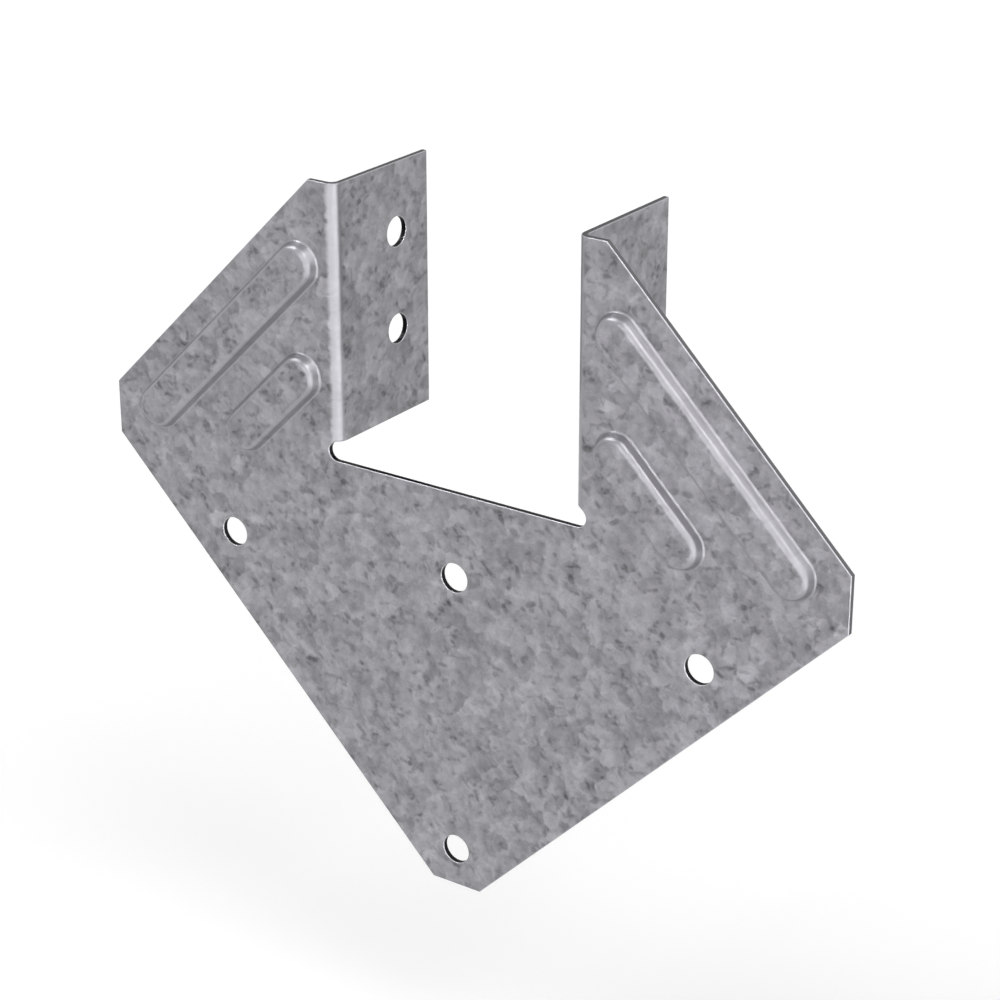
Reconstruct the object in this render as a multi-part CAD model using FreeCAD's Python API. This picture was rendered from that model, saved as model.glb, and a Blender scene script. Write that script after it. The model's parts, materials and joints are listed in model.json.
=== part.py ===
import FreeCAD, Part
import math
import os

# Hurricane tie, punched and folded from one galvanised steel sheet. All sizes are in millimetres.
# X runs across the tie, Y from its front face towards the timber behind it, and Z up.
# Heights are first measured from the bottom edge of the plate. At the end the whole tie is moved down,
# so that the origin lies on the back of the plate, midway between the two nail holes on its centre line.

# Sheet and folds
sheet_thickness = 0.95
fold_outer_radius = 1.85
punched_edge_radius = 0.15

# Plate, seen from the front
plate_width = 124.33
plate_height = 103.8
bottom_edge_width = 8.34
top_edge_length = 4.75

# Gap that takes the rafter, and the flange on each side of it
rafter_gap = 39.7
gap_floor_height = 62.75
flange_bottom_height = 65.61
flange_reach = 21.48
relief_centre_beyond_gap = 0.65

# Nail holes
nail_hole_radius = 2.22
side_nail_spacing = 80.56
side_nail_height = 46.86
centre_nail_height = 49.77
bottom_nail_height = 5.9
flange_nail_reach = 14.12
flange_nail_pitch = 14.6
left_flange_top_nail_height = 93.54
right_flange_nail_drop = flange_nail_pitch / 2

# Ribs, pressed forwards along the upper diagonals: a long one and a short one on each wing
rib_height = 1.56
rib_foot_half_width = 3.45
rib_wall_run = 0.66
rib_foot_radius = 0.35
rib_crown_radius = 0.9
rib_recess_corner_radius = 0.25
rib_insets = (7.49, 19.26)
rib_upper_centre_x = 26.65
rib_lower_centre_height = 64.15

# Values that follow from the sizes above
half_width = plate_width / 2
half_gap = rafter_gap / 2
half_bottom = bottom_edge_width / 2
fold_inner_radius = fold_outer_radius - sheet_thickness
fold_start_x = half_gap + fold_outer_radius
front_y = -sheet_thickness
flange_end_y = flange_reach - sheet_thickness
top_corner_x = half_gap + top_edge_length
side_lower_height = half_width - half_bottom
side_upper_height = plate_height - (half_width - top_corner_x)
relief_radius = (flange_bottom_height - gap_floor_height) / 2
relief_height = gap_floor_height + relief_radius
relief_x = half_gap + relief_centre_beyond_gap
rib_wall_angle = math.atan2(rib_height, rib_wall_run)
origin_height = (centre_nail_height + bottom_nail_height) / 2

# Faces that turn by more than this, in degrees, meet at a punched edge; folds and ribs run on smoothly
sharp_turn = 60

ACROSS = FreeCAD.Vector(1, 0, 0)
BACKWARDS = FreeCAD.Vector(0, 1, 0)
UP = FreeCAD.Vector(0, 0, 1)
DIAGONAL = 1 / math.sqrt(2)


def seen_from_front(x, height):
    """A point of the front face."""
    return FreeCAD.Vector(x, front_y, height)


def joined(points):
    """Straight edges from point to point."""
    return [Part.LineSegment(a, b).toShape() for a, b in zip(points, points[1:])]


def arc(start, middle, end):
    return Part.Arc(start, middle, end).toShape()


def half_outline(side):
    """Half of the plate's outline, from the middle of its bottom edge round to the middle of the gap's floor.

    side is 1 for the half at +X and -1 for the other. Every sloping edge is at 45 degrees. The slot between
    the gap's floor and the flange ends in a half circle, so that the fold doesn't tear the plate.
    """
    def point(x, height):
        return seen_from_front(side * x, height)

    outside = [
        point(0, 0),
        point(half_bottom, 0),
        point(half_width, side_lower_height),
        point(half_width, side_upper_height),
        point(top_corner_x, plate_height),
        point(half_gap, plate_height),
        point(half_gap, flange_bottom_height),
        point(relief_x, flange_bottom_height),
    ]
    relief = arc(
        point(relief_x, flange_bottom_height),
        point(relief_x + relief_radius, relief_height),
        point(relief_x, gap_floor_height),
    )
    floor = joined([point(relief_x, gap_floor_height), point(0, gap_floor_height)])
    return joined(outside) + [relief] + floor


def outline_prism():
    """Everything that the plate's outline lets through, from the front face to the ends of the flanges."""
    edges = half_outline(1) + half_outline(-1)
    face = Part.Face(Part.Wire(Part.__sortEdges__(edges)))
    return face.extrude(BACKWARDS * flange_reach)


def folded_wing(side):
    """One wing of the plate with its fold and flange, from the middle of the relief up."""
    def point(x, y):
        return FreeCAD.Vector(side * x, y, relief_height)

    centre_y = front_y + fold_outer_radius
    slant = DIAGONAL * fold_outer_radius
    inner_slant = DIAGONAL * fold_inner_radius
    outer_fold = arc(
        point(fold_start_x, front_y),
        point(fold_start_x - slant, centre_y - slant),
        point(half_gap, centre_y),
    )
    flange = joined([
        point(half_gap, centre_y),
        point(half_gap, flange_end_y),
        point(half_gap + sheet_thickness, flange_end_y),
        point(half_gap + sheet_thickness, centre_y),
    ])
    inner_fold = arc(
        point(half_gap + sheet_thickness, centre_y),
        point(fold_start_x - inner_slant, centre_y - inner_slant),
        point(fold_start_x, 0),
    )
    plate = joined([
        point(fold_start_x, 0),
        point(half_width, 0),
        point(half_width, front_y),
        point(fold_start_x, front_y),
    ])
    face = Part.Face(Part.Wire([outer_fold] + flange + [inner_fold] + plate))
    return face.extrude(UP * (plate_height - relief_height))


def folded_blank():
    """The sheet with its outline and its two folds, before holes and ribs."""
    flat_part = Part.makeBox(
        plate_width, sheet_thickness, relief_height, seen_from_front(-half_width, 0)
    )
    sheet = flat_part.fuse([folded_wing(1), folded_wing(-1)])
    return sheet.common(outline_prism()).removeSplitter()


def ridge_edges(foot_half_width, foot_radius, crown_radius, base_y):
    """The front of a rib's half section, as edges from beside its foot to the middle of its crown.

    The section lies in the plane x = 0 to +x, with its base line on base_y. The foot and the crown are
    tangent arcs, so the wall between them leans at the rib's wall angle.
    """
    def point(x, rise):
        return FreeCAD.Vector(x, base_y - rise, 0)

    run_share = math.cos(rib_wall_angle)
    rise_share = math.sin(rib_wall_angle)
    foot = foot_radius * math.tan(rib_wall_angle / 2)
    crown = crown_radius * math.tan(rib_wall_angle / 2)
    crown_half_width = foot_half_width - rib_wall_run
    half_turn_x = math.sin(rib_wall_angle / 2)
    half_turn_rise = math.cos(rib_wall_angle / 2)

    foot_start = point(foot_half_width + foot, 0)
    foot_middle = point(
        foot_half_width + foot - foot_radius * half_turn_x,
        foot_radius * (1 - half_turn_rise),
    )
    foot_end = point(foot_half_width - foot * run_share, foot * rise_share)
    crown_start = point(crown_half_width + crown * run_share, rib_height - crown * rise_share)
    crown_middle = point(
        crown_half_width - crown + crown_radius * half_turn_x,
        rib_height - crown_radius * (1 - half_turn_rise),
    )
    crown_end = point(crown_half_width - crown, rib_height)
    return [
        arc(foot_start, foot_middle, foot_end),
        joined([foot_end, crown_start])[0],
        arc(crown_start, crown_middle, crown_end),
        joined([crown_end, point(0, rib_height)])[0],
    ]


def rib_edge_half_width():
    """Half the width of the strip of sheet that a rib's bends take up, on the front and the back."""
    front = rib_foot_half_width + rib_foot_radius * math.tan(rib_wall_angle / 2)
    back_foot_radius = rib_foot_radius + sheet_thickness
    back = recess_foot_half_width() + back_foot_radius * math.tan(rib_wall_angle / 2)
    return max(front, back)


def recess_foot_half_width():
    """Where the wall of the recess behind a rib would meet the back of the plate, one thickness in."""
    return rib_foot_half_width - sheet_thickness * math.tan(rib_wall_angle / 2)


def rib_half_section():
    """Half of a rib's section: the sheet keeps its thickness as it goes up over the rib."""
    front = ridge_edges(rib_foot_half_width, rib_foot_radius, rib_crown_radius, front_y)
    back = ridge_edges(
        recess_foot_half_width(), rib_foot_radius + sheet_thickness, rib_recess_corner_radius, 0
    )
    edge_x = rib_edge_half_width()
    front_foot = front[0].Vertexes[0].Point
    back_foot = back[0].Vertexes[0].Point
    front_edge = FreeCAD.Vector(edge_x, front_y, 0)
    back_edge = FreeCAD.Vector(edge_x, 0, 0)
    border = [front_foot, front_edge, back_edge, back_foot]
    border = [p for i, p in enumerate(border) if i == 0 or (p - border[i - 1]).Length > 1e-6]
    middle = joined([FreeCAD.Vector(0, front_y - rib_height, 0), FreeCAD.Vector(0, -rib_height, 0)])
    edges = front + back + joined(border) + middle
    return Part.Face(Part.Wire(Part.__sortEdges__(edges)))


def stadium_sweep(half_section, length):
    """The half section carried round a stadium: along both sides and round both ends."""
    end = half_section.revolve(FreeCAD.Vector(0, 0, 0), BACKWARDS, 180)
    far_end = half_section.revolve(FreeCAD.Vector(0, 0, 0), BACKWARDS, -180)
    far_end.translate(UP * length)
    right = half_section.extrude(UP * length)
    left = right.mirror(FreeCAD.Vector(0, 0, 0), ACROSS)
    return right.fuse([left, end, far_end])


def stadium(half_width_of_strip, length):
    """A stadium-shaped piece of plate."""
    middle = Part.makeBox(
        2 * half_width_of_strip, sheet_thickness, length, seen_from_front(-half_width_of_strip, 0)
    )
    ends = [
        Part.makeCylinder(half_width_of_strip, sheet_thickness, seen_from_front(0, z), BACKWARDS)
        for z in (0, length)
    ]
    return middle.fuse(ends)


def rib_line_sum(inset):
    """What x and height add up to on a rib's centre line, which runs down at 45 degrees."""
    return top_corner_x + plate_height - inset / DIAGONAL


def placed_on_wing(shape, side, inset):
    """Moves a shape that stands on x = 0, height = 0 to a rib's lower end, along the upper diagonal."""
    lower_x = rib_line_sum(inset) - rib_lower_centre_height
    placed = shape.copy()
    placed.rotate(FreeCAD.Vector(0, 0, 0), BACKWARDS, -45 * side)
    placed.translate(FreeCAD.Vector(side * lower_x, 0, rib_lower_centre_height))
    return placed


def rib_length(inset):
    """Between the centres of a rib's two round ends."""
    upper_height = rib_line_sum(inset) - rib_upper_centre_x
    return (upper_height - rib_lower_centre_height) / DIAGONAL


def with_ribs(sheet):
    """Takes a stadium out of the sheet for each rib, and sets the pressed form in its place."""
    section = rib_half_section()
    for inset in rib_insets:
        length = rib_length(inset)
        opening = stadium(rib_edge_half_width(), length)
        rib = stadium_sweep(section, length)
        for side in (1, -1):
            sheet = sheet.cut(placed_on_wing(opening, side, inset))
            sheet = sheet.fuse(placed_on_wing(rib, side, inset))
    return sheet.removeSplitter()


def plate_nail_hole(x, height):
    """A hole punched through the plate."""
    start = FreeCAD.Vector(x, front_y - sheet_thickness, height)
    return Part.makeCylinder(nail_hole_radius, 3 * sheet_thickness, start, BACKWARDS)


def flange_nail_hole(side, height):
    """A hole punched through one flange."""
    start = FreeCAD.Vector(side * (half_gap - sheet_thickness), front_y + flange_nail_reach, height)
    return Part.makeCylinder(nail_hole_radius, 3 * sheet_thickness, start, ACROSS * side)


def nail_holes():
    """Four holes in the plate and two in each flange. The flanges' holes are staggered, so that nails
    driven from both sides pass each other in the rafter."""
    holes = [
        plate_nail_hole(-side_nail_spacing / 2, side_nail_height),
        plate_nail_hole(side_nail_spacing / 2, side_nail_height),
        plate_nail_hole(0, centre_nail_height),
        plate_nail_hole(0, bottom_nail_height),
    ]
    right_top = left_flange_top_nail_height - right_flange_nail_drop
    for side, top in ((-1, left_flange_top_nail_height), (1, right_top)):
        holes += [flange_nail_hole(side, top), flange_nail_hole(side, top - flange_nail_pitch)]
    return holes


def turn_between_faces(sheet, edge):
    """The angle, in degrees, between the normals of the two faces that meet at an edge."""
    first, last = edge.ParameterRange
    middle = edge.valueAt((first + last) / 2)
    normals = [
        face.normalAt(*face.Surface.parameter(middle))
        for face in sheet.ancestorsOfType(edge, Part.Face)
    ]
    return math.degrees(normals[0].getAngle(normals[-1]))


def crosses_the_sheet(edge):
    """True for a short straight edge from the front of the sheet to its back."""
    return isinstance(edge.Curve, Part.Line) and edge.Length < 1.01 * sheet_thickness


def with_rounded_edges(sheet):
    """Rounds the edges that the punch leaves on the front and the back of the sheet.

    Those are the edges between a face of the sheet and a cut wall. The short straight ones that cross the
    sheet's thickness, at the corners of the outline, stay sharp.
    """
    punched = [
        edge
        for edge in sheet.Edges
        if turn_between_faces(sheet, edge) > sharp_turn and not crosses_the_sheet(edge)
    ]
    return sheet.makeFillet(punched_edge_radius, punched)


def main():
    sheet = with_rounded_edges(folded_blank().cut(nail_holes()))
    tie = with_ribs(sheet).Solids[0]
    tie.translate(UP * -origin_height)
    os.makedirs("parts", exist_ok=True)
    tie.exportStep("parts/hurricane_tie.step")
    print(tie.ShapeType, "valid" if tie.isValid() else "not valid")
    print("volume", round(tie.Volume, 1), "faces", len(tie.Faces), "box", tie.BoundBox)


main()
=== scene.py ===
# %% [markdown]
# # A galvanised hurricane tie
#
# The real thing is one sheet of steel, dipped in zinc before it is punched and folded. So there is one
# piece here, and all the work of this lesson goes into its zinc skin, its cut edges, and the light that
# makes folds and ribs read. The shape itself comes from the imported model, which is the fixed frame: it is
# already at its real size, in metres, with its folds, ribs, holes and rounded edges, and it stays untouched.

# %% Load the frame
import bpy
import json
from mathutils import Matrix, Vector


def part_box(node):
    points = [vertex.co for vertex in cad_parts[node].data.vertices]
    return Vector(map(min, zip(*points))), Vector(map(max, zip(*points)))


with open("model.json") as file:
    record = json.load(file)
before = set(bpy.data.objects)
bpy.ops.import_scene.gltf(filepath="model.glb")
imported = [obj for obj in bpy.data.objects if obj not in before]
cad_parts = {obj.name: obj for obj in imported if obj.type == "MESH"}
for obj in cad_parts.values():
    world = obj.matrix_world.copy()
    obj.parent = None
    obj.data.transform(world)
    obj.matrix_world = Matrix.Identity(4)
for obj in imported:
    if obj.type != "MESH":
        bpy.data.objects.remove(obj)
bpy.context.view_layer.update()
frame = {"nodes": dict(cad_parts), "record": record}

# %% [markdown]
# ## Where things are
#
# A finish that knows where it lies needs a few real distances: how thick the sheet is, where the folds
# begin, and where the gap and its reliefs lie. Half the gap is read off the frame, from the mount on the
# right flange's inner face. The others are the model's own sizes, written out here. The frame's origin lies
# on the back of the plate, so the back is at y = 0, the front at y = -SHEET_THICKNESS, and the flanges stand
# behind, at y above 0.

# %% Sizes that the finish and the camera need
import json
import math

import bpy
from mathutils import Vector

MM = 0.001
tie = frame["nodes"]["hurricane_tie"]
low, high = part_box("hurricane_tie")
mounts = {mount["name"]: mount for mount in frame["record"]["mounts"]}
HALF_GAP = mounts["right_flange_face"]["pos_m"][0]
SHEET_THICKNESS = 0.95 * MM
FOLD_RADIUS = 1.85 * MM
FOLD_START_X = HALF_GAP + FOLD_RADIUS
FOLD_END_Y = FOLD_RADIUS - SHEET_THICKNESS
GAP_FLOOR_Z = 34.92 * MM
RELIEF_TOP_Z = 37.78 * MM
print("width", round((high.x - low.x) / MM, 2), "mm, height", round((high.z - low.z) / MM, 2), "mm")
print("the folds' plate side starts at x =", round(FOLD_START_X / MM, 2), "mm")

# %% [markdown]
# ## Small helpers for shader nodes
#
# Zinc crystals are a pattern, and a pattern in Blender is a tree of shader nodes. Each helper adds one
# node and wires it up, so the recipes further down read like sums. A value may be a number or another
# node's output: `feed` sees which, and either sets the socket or links to it. A Mix node has sockets for
# numbers, vectors and colours side by side, so those for colours are picked by their place in the row.

# %% Helpers: nodes and links
MIX_FIRST_COLOUR = 6
MIX_SECOND_COLOUR = 7
MIXED_COLOUR = 2


class Recipe:
    """Adds nodes to one material and wires them."""

    def __init__(self, name):
        self.material = bpy.data.materials.new(name)
        self.material.use_nodes = True
        self.tree = self.material.node_tree
        self.tree.nodes.clear()

    def feed(self, socket, value):
        if isinstance(value, bpy.types.NodeSocket):
            self.tree.links.new(value, socket)
        else:
            socket.default_value = value

    def node(self, kind, *values, **settings):
        """A node of that kind, with the values fed to its first sockets."""
        made = self.tree.nodes.new(kind)
        for key, value in settings.items():
            setattr(made, key, value)
        for socket, value in zip(made.inputs, values):
            self.feed(socket, value)
        return made

    def maths(self, operation, *values):
        return self.node("ShaderNodeMath", *values, operation=operation).outputs[0]

    def vector_maths(self, operation, *values):
        return self.node("ShaderNodeVectorMath", *values, operation=operation).outputs[0]

    def scaled(self, vector, factor):
        """A place or a colour times a number."""
        made = self.node("ShaderNodeVectorMath", vector, operation="SCALE")
        self.feed(made.inputs["Scale"], factor)
        return made.outputs[0]

    def distance(self, first, second):
        """How far two places are apart."""
        return self.node("ShaderNodeVectorMath", first, second, operation="DISTANCE").outputs["Value"]

    def parts(self, vector):
        """The x, y and z of a vector."""
        return self.node("ShaderNodeSeparateXYZ", vector).outputs

    def step(self, value, start, end, at_start, at_end):
        """A smooth step: at_start below start, at_end above end."""
        limits = (value, start, end, at_start, at_end)
        return self.node("ShaderNodeMapRange", *limits, interpolation_type="SMOOTHSTEP").outputs[0]

    def rise(self, value, start, end, lowest=0.0):
        """A smooth step up: lowest below start, 1 above end."""
        return self.step(value, start, end, lowest, 1.0)

    def fall(self, value, start, end):
        """A smooth step down: 1 below start, 0 above end."""
        return self.step(value, start, end, 1.0, 0.0)

    def blend(self, share, first, second):
        """A colour between first and second."""
        made = self.node("ShaderNodeMix", data_type="RGBA")
        self.feed(made.inputs["Factor"], share)
        self.feed(made.inputs[MIX_FIRST_COLOUR], first)
        self.feed(made.inputs[MIX_SECOND_COLOUR], second)
        return made.outputs[MIXED_COLOUR]

    def surface(self, shader):
        """Makes the shader the material's surface, and gives the material."""
        output = self.node("ShaderNodeOutputMaterial")
        self.feed(output.inputs["Surface"], shader.outputs[0])
        return self.material


# %% [markdown]
# ## The zinc's crystals
#
# Molten zinc freezes on the sheet in flat crystals one to three millimetres wide. Each lies at its own
# slant, so it sends light its own way, and a tie looks like a patchwork of slightly lighter and darker
# greys with a lavender tinge. Dark flecks sit along some of the crystals' borders, where impurities gather.
#
# An image would fix the pattern to one size and blur close up, so it is made from noise instead. A Voronoi
# texture cuts the sheet into cells the way crystals grow. Warping its coordinates first takes away the
# straight borders.

# %% Helpers: noise, cells and sums
def noise(zinc, where, size, detail=1.0):
    """Noise with features of that size in mm, from 0 to 1, and a random colour."""
    made = zinc.node("ShaderNodeTexNoise", noise_dimensions="2D")
    zinc.feed(made.inputs["Vector"], where)
    made.inputs["Scale"].default_value = 1 / size
    made.inputs["Detail"].default_value = detail
    return made.outputs[0], made.outputs[1]


def crystal_cells(zinc, where, size, softness):
    """Cells of about that size, each with its own random grey, that run into each other at their borders."""
    made = zinc.node("ShaderNodeTexVoronoi", voronoi_dimensions="2D", feature="SMOOTH_F1")
    zinc.feed(made.inputs["Vector"], where)
    made.inputs["Scale"].default_value = 1 / size
    made.inputs["Smoothness"].default_value = softness
    return zinc.node("ShaderNodeSeparateColor", made.outputs["Color"]).outputs[0]


def distance_to_border(zinc, where, size):
    """How far a place is from the border between two cells, as a share of the cells' size."""
    made = zinc.node("ShaderNodeTexVoronoi", voronoi_dimensions="2D", feature="DISTANCE_TO_EDGE")
    zinc.feed(made.inputs["Vector"], where)
    made.inputs["Scale"].default_value = 1 / size
    return made.outputs["Distance"]


def turned(zinc, where, turn, stretch):
    """Places turned by that angle and moved aside, in which round features come out longer one way."""
    made = zinc.node("ShaderNodeMapping", where, vector_type="TEXTURE")
    made.inputs["Location"].default_value = (3 * turn, 2 * turn, 0)
    made.inputs["Rotation"].default_value = (0, 0, math.radians(turn))
    made.inputs["Scale"].default_value = (*stretch, 1)
    return made.outputs[0]


def weighted_sum(zinc, *pairs):
    """Adds value times weight for each pair."""
    total = 0.0
    for value, weight in pairs:
        total = zinc.maths("MULTIPLY_ADD", value, weight, total)
    return total


def around_zero(zinc, value):
    return zinc.maths("SUBTRACT", value, 0.5)


# %% [markdown]
# ## Laying the sheet flat again
#
# The zinc was there before the sheet was folded, so its pattern has to run round the folds unbroken. For
# that, every place gets its distance along the flat sheet. On the plate that is x. On a flange x stands still
# and the way goes on backwards, so the depth y is taken off, towards the middle. Positions reach these
# helpers in mm, so the sizes in the patterns below are in mm as well.

# %% Places on the flat sheet
def place_on_flat_sheet(zinc, position):
    x, y, z = zinc.parts(position)
    way_back = zinc.maths("MULTIPLY", zinc.maths("SIGN", x), zinc.maths("MAXIMUM", y, 0.0))
    return zinc.node("ShaderNodeCombineXYZ", zinc.maths("SUBTRACT", x, way_back), z).outputs[0]


# %% [markdown]
# ## Flecks
#
# The flecks come in two kinds. Some are short pieces of a border between crystals, picked out by a noise.
# The others are loose specks, from two layers of noise turned different ways and kept only near their peaks.
# Both gather in some areas and leave others nearly clean. Painting them one by one would give the same look,
# but noise fills the whole sheet with them at once.

# %% The dark flecks
CRYSTAL_SIZE = 2.4
BORDER_SHARE = 0.32
DIRT_SIZE = 1.5
DIRT_TURN = 33
DIRT_STRETCH = (1.2, 1.0)
DIRT_STEP = (0.54, 0.74)
SPECK_SIZE = 1.7
SPECK_TURNS = (12, -48)
SPECK_STRETCH = (1.45, 0.9)
SPECK_STEP = (0.60, 0.80)
FLECK_AREA_SIZE = 4.5
FLECK_AREA_STEP = (0.38, 0.60)
FLECKS_IN_CLEAN_AREAS = 0.25


def fleck_cover(zinc, place, warped):
    """1 where a dark fleck lies, 0 on clean zinc."""
    on_border = zinc.fall(distance_to_border(zinc, warped, CRYSTAL_SIZE), 0.0, BORDER_SHARE)
    dirt = noise(zinc, turned(zinc, place, DIRT_TURN, DIRT_STRETCH), DIRT_SIZE)[0]
    flecks = zinc.maths("MULTIPLY", on_border, zinc.rise(dirt, *DIRT_STEP))
    for turn in SPECK_TURNS:
        peaks = noise(zinc, turned(zinc, place, turn, SPECK_STRETCH), SPECK_SIZE)[0]
        flecks = zinc.maths("MAXIMUM", zinc.rise(peaks, *SPECK_STEP), flecks)
    areas = noise(zinc, place, FLECK_AREA_SIZE, detail=1.5)[0]
    return zinc.maths("MULTIPLY", flecks, zinc.rise(areas, *FLECK_AREA_STEP, FLECKS_IN_CLEAN_AREAS))


# %% [markdown]
# ## Patches
#
# `zinc_pattern` gives three numbers for every place on the sheet. The first is its shade: 1 on average, more
# on a light crystal and less on a dark one. Large crystals, small crystals, clouds of two sizes, a fine
# grain, a few light glints and the flecks are each given a weight and added up. The second number says where
# the flecks are, and the third is the large crystals alone: both also go into the roughness.

# %% The pattern of patches and flecks
CRYSTAL_SOFTNESS = 0.25
SMALL_CRYSTAL_SIZE = 1.1
SMALL_CRYSTAL_SOFTNESS = 0.35
CLOUD_SIZE = 1.5
WIDE_CLOUD_SIZE = 5.0
GRAIN_SIZE = 0.36
GLINT_SIZE = 1.9
GLINT_TURN = 50
GLINT_STRETCH = (1.3, 1.0)
GLINT_STEP = (0.60, 0.72)
WARP_SIZE = 1.5
WARP_WIDTH = 1.5
WEIGHTS = {
    "crystals": 0.36,
    "small crystals": 0.18,
    "clouds": 0.58,
    "wide clouds": 0.36,
    "grain": 0.18,
    "glints": 0.16,
    "flecks": -0.42,
}


def warped_place(zinc, place):
    """Places pushed this way and that, so that straight borders come out crooked."""
    push = noise(zinc, place, WARP_SIZE, detail=2.0)[1]
    either_way = zinc.vector_maths("SUBTRACT", push, (0.5,) * 3)
    return zinc.vector_maths("MULTIPLY_ADD", either_way, (WARP_WIDTH,) * 3, place)


def zinc_pattern(zinc, place):
    warped = warped_place(zinc, place)
    small_crystals = crystal_cells(zinc, warped, SMALL_CRYSTAL_SIZE, SMALL_CRYSTAL_SOFTNESS)
    glints = noise(zinc, turned(zinc, warped, GLINT_TURN, GLINT_STRETCH), GLINT_SIZE, detail=0.5)[0]
    layers = {
        "crystals": around_zero(zinc, crystal_cells(zinc, warped, CRYSTAL_SIZE, CRYSTAL_SOFTNESS)),
        "small crystals": around_zero(zinc, small_crystals),
        "clouds": around_zero(zinc, noise(zinc, place, CLOUD_SIZE, detail=3.0)[0]),
        "wide clouds": around_zero(zinc, noise(zinc, place, WIDE_CLOUD_SIZE)[0]),
        "grain": around_zero(zinc, noise(zinc, place, GRAIN_SIZE)[0]),
        "glints": zinc.rise(glints, *GLINT_STEP),
        "flecks": fleck_cover(zinc, place, warped),
    }
    shade = weighted_sum(zinc, *((layers[name], weight) for name, weight in WEIGHTS.items()))
    return zinc.maths("ADD", shade, 1.0), layers["flecks"], layers["crystals"]


# %% [markdown]
# ## Telling the parts of the sheet apart
#
# The finish differs on faces, bends, rims and cut walls. Each could get a material of its own, triangle by
# triangle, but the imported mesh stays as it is. So the shader tells them apart by two things: which way the
# surface faces, and where it lies. The plate faces along y and the flanges along x. The three clearances, in
# mm, keep places that lie right on a limit on the side where they belong.

# %% Helpers: where a place is and which way it faces
X, Y, Z = range(3)
BACK_CLEARANCE = 0.05
FACE_CLEARANCE = 0.005
RELIEF_CLEARANCE = 0.1


def facing(zinc, normal, axis):
    """How squarely the surface faces along that axis, either way: from 0 to 1."""
    return zinc.maths("ABSOLUTE", zinc.parts(normal)[axis])


def on_plate_share(zinc, position):
    """1 on the plate with its ribs, 0 on the folds and the flanges."""
    x, y, z = zinc.parts(position)
    beside_fold = zinc.maths("GREATER_THAN", zinc.maths("ABSOLUTE", x), FOLD_START_X / MM)
    below_fold = zinc.maths("LESS_THAN", z, RELIEF_TOP_Z / MM - RELIEF_CLEARANCE)
    clear_of_fold = zinc.maths("MAXIMUM", beside_fold, below_fold)
    return zinc.maths("MULTIPLY", clear_of_fold, zinc.maths("LESS_THAN", y, BACK_CLEARANCE))


def on_flange_share(zinc, position):
    """1 on the flanges beyond their folds, 0 elsewhere."""
    return zinc.maths("GREATER_THAN", zinc.parts(position)[Y], FOLD_END_Y / MM)


# %% [markdown]
# ## Burnished bends, with painted highlights
#
# Where the tools bent the flanges and pressed the ribs, they rubbed the zinc and flattened its crystals.
# There the colour is made brighter and more even, partly for that burnish and partly as a painted highlight,
# so the long highlights on the folds and ribs run bright and clean. The flat faces look straight along x or
# y, and everything bent looks somewhere in between, so the direction of the surface is enough to find those
# places.
#
# The cutting edge of a punch or shear drags the zinc round the rim of every cut and polishes it. A painted
# highlight is added there on top, so a thin bright line follows the holes and the edges. On the plate and the
# flanges nothing but a rim turns away from the face, apart from the ribs, and those stand in front of the
# plate's face.

# %% Where the tools rubbed the zinc, and where highlights are painted
# Painted highlight: on folds and ribs the colour is lifted to this shade and evened out, partly for the
# burnish and partly in place of their highlights.
BURNISH_AND_HIGHLIGHT_SHADE = 1.2
BURNISH_AND_HIGHLIGHT_MOST = 0.75
BEND_TURN = (0.92, 0.995)
# Painted highlight: the rims of cuts get this much extra brightness in their colour.
RIM_HIGHLIGHT_EXTRA = 0.55
RIM_TURN = (0.90, 0.97)


def burnish_and_highlight_share(zinc, normal):
    """1 where the sheet was bent or pressed, 0 on its flat faces."""
    squarest = zinc.maths("MAXIMUM", facing(zinc, normal, X), facing(zinc, normal, Y))
    return zinc.fall(squarest, *BEND_TURN)


def rim_highlight_share(zinc, normal, position):
    """1 on the rounded rims of cuts, 0 elsewhere."""
    y = zinc.parts(position)[Y]
    behind_face = zinc.maths("GREATER_THAN", y, FACE_CLEARANCE - SHEET_THICKNESS / MM)
    plate_without_ribs = zinc.maths("MULTIPLY", on_plate_share(zinc, position), behind_face)
    turned_off_plate = zinc.fall(facing(zinc, normal, Y), *RIM_TURN)
    turned_off_flange = zinc.fall(facing(zinc, normal, X), *RIM_TURN)
    plate_rim = zinc.maths("MULTIPLY", plate_without_ribs, turned_off_plate)
    flange_rim = zinc.maths("MULTIPLY", on_flange_share(zinc, position), turned_off_flange)
    return zinc.maths("MAXIMUM", plate_rim, flange_rim)


def rubbed_and_highlit(zinc, shade, normal, position):
    """The pattern's shade, evened out and lifted on the bends as burnish and painted highlight, and raised on
    the rims as painted highlight.
    """
    evened = zinc.maths("MULTIPLY", burnish_and_highlight_share(zinc, normal), BURNISH_AND_HIGHLIGHT_MOST)
    change = zinc.maths("SUBTRACT", BURNISH_AND_HIGHLIGHT_SHADE, shade)
    even_highlit_shade = zinc.maths("MULTIPLY_ADD", evened, change, shade)
    return zinc.maths("MULTIPLY_ADD", rim_highlight_share(zinc, normal, position), RIM_HIGHLIGHT_EXTRA, even_highlit_shade)


# %% [markdown]
# ## Cut walls
#
# The press shears through the zinc, so the narrow walls round the sheet are bare steel, darker than the
# faces. The walls of the holes and the gap are painted nearly black and made shiny: that black is painted
# shade, for the dark inside the holes and the gap. On the flat parts of the sheet, a wall is where the
# surface faces along the sheet instead of across it. The pressed ribs lean, so they never face quite along
# the sheet and stay zinc. Walls that face straight up or down count wherever they are, because those at the
# ends of the folds belong to neither flat part.

# %% Where the cut walls are
WALL_TURN = (0.10, 0.30)
UP_OR_DOWN_TURN = (0.94, 0.98)


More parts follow.
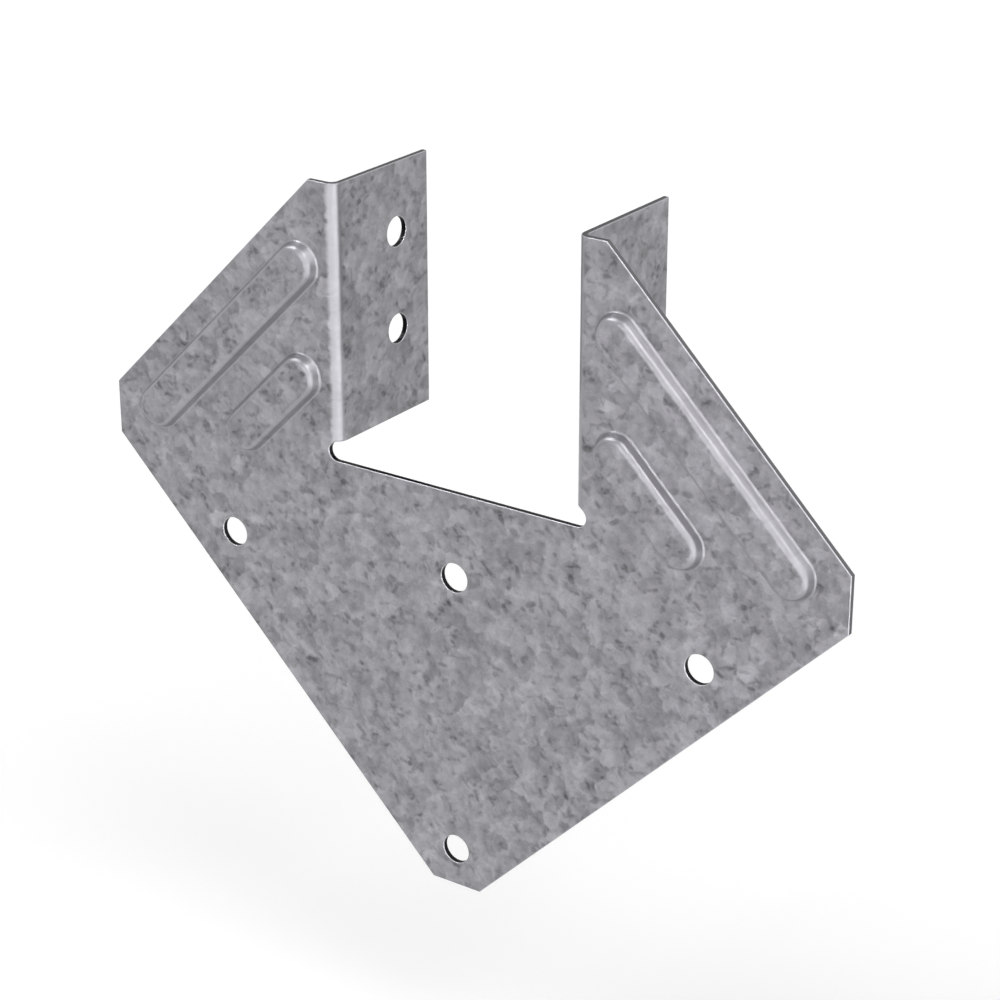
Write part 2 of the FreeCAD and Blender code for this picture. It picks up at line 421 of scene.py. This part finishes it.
def cut_wall_share(zinc, normal, position):
    """1 on the walls that the press cut, 0 on the faces, the folds and the ribs."""
    along_plate = zinc.fall(facing(zinc, normal, Y), *WALL_TURN)
    along_flange = zinc.fall(facing(zinc, normal, X), *WALL_TURN)
    plate_wall = zinc.maths("MULTIPLY", on_plate_share(zinc, position), along_plate)
    flange_wall = zinc.maths("MULTIPLY", on_flange_share(zinc, position), along_flange)
    wall = zinc.maths("MAXIMUM", flange_wall, plate_wall)
    return zinc.maths("MAXIMUM", wall, zinc.rise(facing(zinc, normal, Z), *UP_OR_DOWN_TURN))


# %% [markdown]
# The nail holes come from the imported model's record, which gives every pair of holes as one mount, with its
# middle and how far apart the two are. So the shader finds their walls where the model has them. The gap's
# floor and its two round reliefs are added as a short band just below the flanges. It ends a little beyond
# the reliefs, because the sheet's two side corners lie at the same height and were sheared, not punched.

# %% Where the punch went through, whose walls get painted shade
HOLE_REACH = 2.7
GAP_BAND = 2.0
GAP_REACH = 24.0


def nail_holes():
    """The middle of every nail hole, in mm."""
    middles = []
    for mount in mounts.values():
        if mount["kind"] != "bolt_pattern":
            continue
        pair = mount["dims"]
        half_way = Vector((pair.get("spacing_x_mm", 0), 0, pair.get("spacing_y_mm", 0))) / 2
        middle = Vector(mount["pos_m"]) / MM
        middles += [middle - half_way, middle + half_way]
    return middles


def punched_wall_shade_share(zinc, position):
    """1 near the nail holes and along the gap's floor, 0 elsewhere."""
    x, _, z = zinc.parts(position)
    at_floor_height = zinc.maths("COMPARE", z, GAP_FLOOR_Z / MM, GAP_BAND)
    inside_gap = zinc.maths("LESS_THAN", zinc.maths("ABSOLUTE", x), GAP_REACH)
    punched = zinc.maths("MULTIPLY", at_floor_height, inside_gap)
    for middle in nail_holes():
        near_hole = zinc.maths("LESS_THAN", zinc.distance(position, middle), HOLE_REACH)
        punched = zinc.maths("MAXIMUM", punched, near_hole)
    return punched


print("nail holes:", len(nail_holes()))

# %% [markdown]
# ## The galvanised finish
#
# One shader carries the whole sheet. Fresh zinc is a metal with a satin skin, so most of its light is a
# broad, soft reflection, and a small share is the chalky grey of its oxide. The pattern drives its colour and
# its roughness, because a crystal that slants looks lighter or darker as the light moves. A very low bump
# keeps the reflections from being quite even. The bare walls also get a dark specular tint, which holds back
# the bright reflection that a metal gives at a glancing angle, so they stay dark from the side.

# %% Make the galvanised finish
ZINC = (0.243, 0.240, 0.257)
ZINC_METALLIC = 0.65
ZINC_ROUGHNESS = 0.30
ZINC_TINT = (1.0, 1.0, 1.0, 1.0)
CRYSTAL_ROUGHNESS = 0.03
FLECK_ROUGHNESS = 0.05
SHEARED_STEEL = (0.16, 0.159, 0.167, 1.0)
# Painted shade: the walls of the holes and the gap are coloured nearly black.
PAINTED_SHADE_ON_PUNCHED_WALLS = (0.012, 0.012, 0.013, 1.0)
CUT_ROUGHNESS = 0.20
CUT_TINT = (0.15, 0.15, 0.15, 1.0)
RIPPLE_SIZE = 0.8
RIPPLE_HEIGHT = 0.005 * MM
RIPPLE_STRENGTH = 0.10


def ripples(zinc, place):
    """The very low waves of the zinc's skin."""
    bump = zinc.node("ShaderNodeBump")
    bump.inputs["Strength"].default_value = RIPPLE_STRENGTH
    bump.inputs["Distance"].default_value = RIPPLE_HEIGHT
    zinc.feed(bump.inputs["Height"], noise(zinc, place, RIPPLE_SIZE, detail=2.0)[0])
    return bump.outputs[0]


def galvanised():
    zinc = Recipe("galvanised_sheet")
    coordinates = zinc.node("ShaderNodeTexCoord").outputs
    normal = coordinates["Normal"]
    position = zinc.scaled(coordinates["Object"], 1 / MM)
    place = place_on_flat_sheet(zinc, position)
    shade, flecks, crystals = zinc_pattern(zinc, place)
    # The colour carries painted highlights: lifted on the bends and raised on the rims.
    colour = zinc.scaled(ZINC, rubbed_and_highlit(zinc, shade, normal, position))
    wall = cut_wall_share(zinc, normal, position)
    # The walls' colour: bare steel, and painted shade on the walls of the holes and the gap.
    wall_colour = zinc.blend(punched_wall_shade_share(zinc, position), SHEARED_STEEL, PAINTED_SHADE_ON_PUNCHED_WALLS)
    uneven = weighted_sum(zinc, (crystals, CRYSTAL_ROUGHNESS), (flecks, FLECK_ROUGHNESS))
    satin = zinc.maths("ADD", uneven, ZINC_ROUGHNESS)
    roughness = zinc.maths("MULTIPLY_ADD", wall, CUT_ROUGHNESS - ZINC_ROUGHNESS, satin)

    skin = zinc.node("ShaderNodeBsdfPrincipled")
    skin.inputs["Metallic"].default_value = ZINC_METALLIC
    zinc.feed(skin.inputs["Base Color"], zinc.blend(wall, colour, wall_colour))
    zinc.feed(skin.inputs["Roughness"], roughness)
    zinc.feed(skin.inputs["Specular Tint"], zinc.blend(wall, ZINC_TINT, CUT_TINT))
    zinc.feed(skin.inputs["Normal"], ripples(zinc, place))
    return zinc.surface(skin)


finish_of_sheet = galvanised()
tie.data.materials.clear()
tie.data.materials.append(finish_of_sheet)
print("finish nodes:", len(finish_of_sheet.node_tree.nodes))

# %% [markdown]
# ## Floor and surroundings
#
# A tie like this is shown on plain white. The floor is a white that takes the tie's soft shadow. So that it
# reads as white without more light on the steel, it also glows a little, but only towards the camera and in
# reflections, which the Light Path node picks out.
#
# Part of the light comes up through the floor, as it does through a lit table of milk glass. So the floor
# casts no shadow itself, which is what its switch for shadow rays does. It still takes the shadow of the tie.

# %% Make the floor
FLOOR_GAP = 0.030
FLOOR_SIZE = 6.0
FLOOR_WHITE = (0.8, 0.8, 0.8, 1.0)
FLOOR_GLOW = 0.31


def seen_or_reflected(paint):
    """1 for rays from the camera, in reflections and through glass, 0 for the light that falls on things."""
    path = paint.node("ShaderNodeLightPath").outputs
    straight = paint.maths("MAXIMUM", path["Is Camera Ray"], path["Is Glossy Ray"])
    return paint.maths("MAXIMUM", straight, path["Is Transmission Ray"])


def floor_paint():
    paint = Recipe("white_floor")
    matt = paint.node("ShaderNodeBsdfDiffuse")
    matt.inputs["Color"].default_value = FLOOR_WHITE
    glow = paint.node("ShaderNodeEmission")
    paint.feed(glow.inputs["Strength"], paint.maths("MULTIPLY", seen_or_reflected(paint), FLOOR_GLOW))
    return paint.surface(paint.node("ShaderNodeAddShader", matt.outputs[0], glow.outputs[0]))


def make_floor():
    bpy.ops.mesh.primitive_plane_add(size=FLOOR_SIZE, location=(0, 0, low.z - FLOOR_GAP))
    floor = bpy.context.object
    floor.name = "floor"
    floor.data.materials.append(floor_paint())
    floor.visible_shadow = False
    return floor


print("floor at z =", round(make_floor().location.z / MM, 2), "mm")

# %% [markdown]
# ## The room
#
# A metal shows its surroundings more than its own colour. In a white studio those are white all round, so the
# world is white for the camera and in reflections, and only a fifth of that lights the object. Without that
# split, either the picture's background would be grey or the steel would be far too light.

# %% Make the world
ROOM_WHITE = (1.0, 1.0, 1.0, 1.0)
ROOM_LIGHT = 0.2


def make_world():
    world = bpy.data.worlds.new("studio")
    world.use_nodes = True
    tree = world.node_tree
    background = tree.nodes["Background"]
    background.inputs["Color"].default_value = ROOM_WHITE
    path = tree.nodes.new("ShaderNodeLightPath")
    strength = tree.nodes.new("ShaderNodeMapRange")
    strength.inputs["To Min"].default_value = 1.0
    strength.inputs["To Max"].default_value = ROOM_LIGHT
    tree.links.new(path.outputs["Is Diffuse Ray"], strength.inputs["Value"])
    tree.links.new(strength.outputs[0], background.inputs["Strength"])
    return world


bpy.context.scene.world = make_world()
print("world:", bpy.context.scene.world.name)

# %% [markdown]
# ## Light
#
# Folds and ribs show only where light comes from one side more than from another. Five suns do that here.
# Each has a wide disc, so it is as soft as a large lamp with a cloth before it, and a sun lights the whole
# floor evenly, where a lamp close by would leave a pool.
#
# - The front light is the plain one. It meets the plate squarely and gives it its even grey.
# - The low light comes up through the floor from the right. The left fold turns that way, and shows it as a
#   bright band from top to bottom.
# - The right light is the strongest. It runs down the walls and the crests of the right-hand ribs.
# - The crest light is the weakest and has the narrowest disc. It stands high on the right, and sharpens the
#   bright line along the same crests.
# - The upper left light picks out the ribs' round upper ends and the corner between a cut wall and a face.
#
# Cycles finds a lamp in two ways: it looks straight towards it, and it follows reflections that may meet it.
# A reflection on its way to the low light would meet the floor first and lose its share of the light, so
# only the first way is used.

# %% Make the lights
def sun(name, azimuth, elevation, disc, strength):
    """A sun that shines from that azimuth (0 is in front, 90 from the right) and elevation, in degrees."""
    lamp = bpy.data.lights.new(name, "SUN")
    lamp.angle = math.radians(disc)
    lamp.energy = strength
    lamp.cycles.use_multiple_importance_sampling = False
    holder = bpy.data.objects.new(name, lamp)
    bpy.context.scene.collection.objects.link(holder)
    a, e = math.radians(azimuth), math.radians(elevation)
    towards = Vector((math.sin(a) * math.cos(e), -math.cos(a) * math.cos(e), math.sin(e)))
    holder.rotation_mode = "QUATERNION"
    holder.rotation_quaternion = towards.to_track_quat("Z", "Y")


sun("front_light", azimuth=5, elevation=-5, disc=60, strength=1.15)
sun("low_light", azimuth=57, elevation=-23, disc=46, strength=0.95)
sun("right_light", azimuth=62, elevation=30, disc=75, strength=1.6)
sun("crest_light", azimuth=66, elevation=58, disc=24, strength=0.45)
sun("upper_left_light", azimuth=-62, elevation=50, disc=36, strength=1.2)

# %% [markdown]
# ## Camera
#
# The tie is looked at from the right and from above, with a long lens, so that its edges stay nearly
# parallel. The camera's place is worked out from the two angles and the distance, round a point near the
# middle of the tie, and it looks along the line of those angles with no tilt.

# %% Make the camera
AZIMUTH = math.radians(34.895)
ELEVATION = math.radians(22.999)
DISTANCE = 377.14 * MM
AIM = Vector((0, -SHEET_THICKNESS, 37.715 * MM))
AIM_RIGHT = 6.478 * MM
AIM_UP = -3.504 * MM
LENS = 97.91
SENSOR_WIDTH = 36
NEAREST = 0.01
FARTHEST = 20


def make_camera():
    right = Vector((math.cos(AZIMUTH), math.sin(AZIMUTH), 0))
    back = Vector((
        math.sin(AZIMUTH) * math.cos(ELEVATION),
        -math.cos(AZIMUTH) * math.cos(ELEVATION),
        math.sin(ELEVATION),
    ))
    up = back.cross(right)
    lens = bpy.data.cameras.new("camera")
    lens.sensor_width = SENSOR_WIDTH
    lens.lens = LENS
    lens.clip_start = NEAREST
    lens.clip_end = FARTHEST
    camera = bpy.data.objects.new("camera", lens)
    bpy.context.scene.collection.objects.link(camera)
    camera.location = AIM + AIM_RIGHT * right + AIM_UP * up + DISTANCE * back
    camera.rotation_mode = "QUATERNION"
    camera.rotation_quaternion = (-back).to_track_quat("-Z", "Y")
    bpy.context.scene.camera = camera
    return camera


print("camera at", [round(v, 4) for v in make_camera().location])

# %% [markdown]
# ## Finish
#
# The plain view transform keeps colours as they are written.

# %% Finish
bpy.context.scene.view_settings.view_transform = "Standard"
